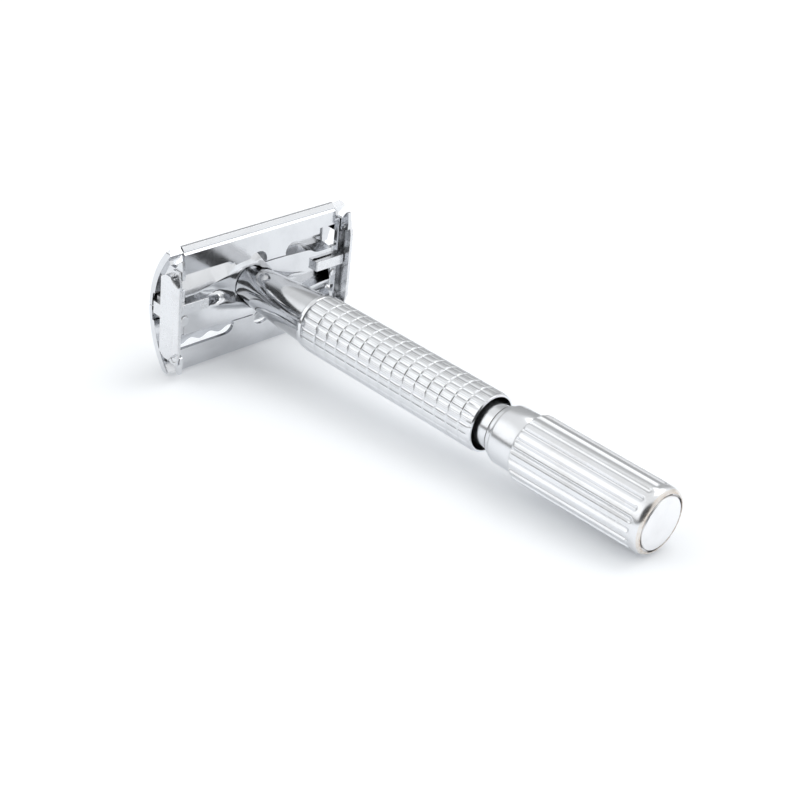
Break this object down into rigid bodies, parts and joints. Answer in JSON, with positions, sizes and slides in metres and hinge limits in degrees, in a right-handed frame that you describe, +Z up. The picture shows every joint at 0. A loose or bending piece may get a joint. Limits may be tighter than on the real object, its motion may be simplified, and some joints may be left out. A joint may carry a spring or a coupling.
{
  "type": "safety razor",
  "caption": "Twist-to-open double-edge safety razor with two hinged doors over a slotted guard, knurled handle tube and fluted turning knob.",
  "frame": {"origin": "middle of the resting razor's bounding box, on the table plane it lies on", "axes": "+X from the head towards the knob (the handle slopes 4 degrees down towards the knob), +Y along the head, +Z up"},
  "size_m": [0.1078, 0.046, 0.027],
  "materials": {
    "chrome_bright": "polished chrome plate, thin wear at the edges",
    "chrome_satin": "chrome plate with a fine satin grain",
    "chrome_knurled": "chrome plate over a pressed brick pattern of fine ridges",
    "steel_dark": "plain steel of the inner mechanism",
    "brass_rod": "turned brass",
    "aluminium_insert": "matt anodised disc"
  },
  "bodies": {
    "handle": {"spine": "chrome_bright", "guard_plate": "chrome_bright", "blade_seat": "steel_dark", "end_bracket_near": "chrome_satin", "end_bracket_far": "chrome_satin", "bracket_rivet_near": "chrome_bright", "bracket_rivet_far": "chrome_bright", "neck": "chrome_bright", "neck_ring": "chrome_bright", "handle_tube": "chrome_knurled", "drive_nut": "brass_rod"},
    "carrier": {"end_plate_near": "chrome_satin", "end_plate_far": "chrome_satin", "carrier_bar": "steel_dark", "push_rod": "brass_rod", "hinge_pin_upper_near": "steel_dark", "hinge_pin_lower_near": "steel_dark", "hinge_pin_upper_far": "steel_dark", "hinge_pin_lower_far": "steel_dark"},
    "upper_door": {"door_upper": "chrome_bright"},
    "lower_door": {"door_lower": "chrome_bright"},
    "knob": {"swivel_cup": "steel_dark", "drive_screw": "steel_dark", "knob_collar": "chrome_bright", "knob_grip": "chrome_satin", "knob_insert": "aluminium_insert"}
  },
  "joints": [
    {"name": "carrier_lift", "type": "slide", "parent": "handle", "child": "carrier", "axis": [-0.9976, 0, 0.0698], "range_m": [0, 0.0038]},
    {"name": "knob_turn", "type": "hinge", "parent": "carrier", "child": "knob", "pos_m": [0.03938, 0, 0.00733], "axis": [0.9976, 0, -0.0698], "range_deg": [0, 360]},
    {"name": "upper_door_hinge", "type": "hinge", "parent": "carrier", "child": "upper_door", "pos_m": [-0.04579, 0, 0.02221], "axis": [0, 1, 0], "range_deg": [0, 58]},
    {"name": "lower_door_hinge", "type": "hinge", "parent": "carrier", "child": "lower_door", "pos_m": [-0.04704, 0, 0.00445], "axis": [0, -1, 0], "range_deg": [0, 58]}
  ],
  "couplings": [
    {"joint": "knob_turn", "follows": "carrier_lift", "rad_per_m": 1653.5},
    {"joint": "upper_door_hinge", "follows": "carrier_lift", "rad_per_m": 266.39},
    {"joint": "lower_door_hinge", "follows": "carrier_lift", "rad_per_m": 266.39}
  ]
}
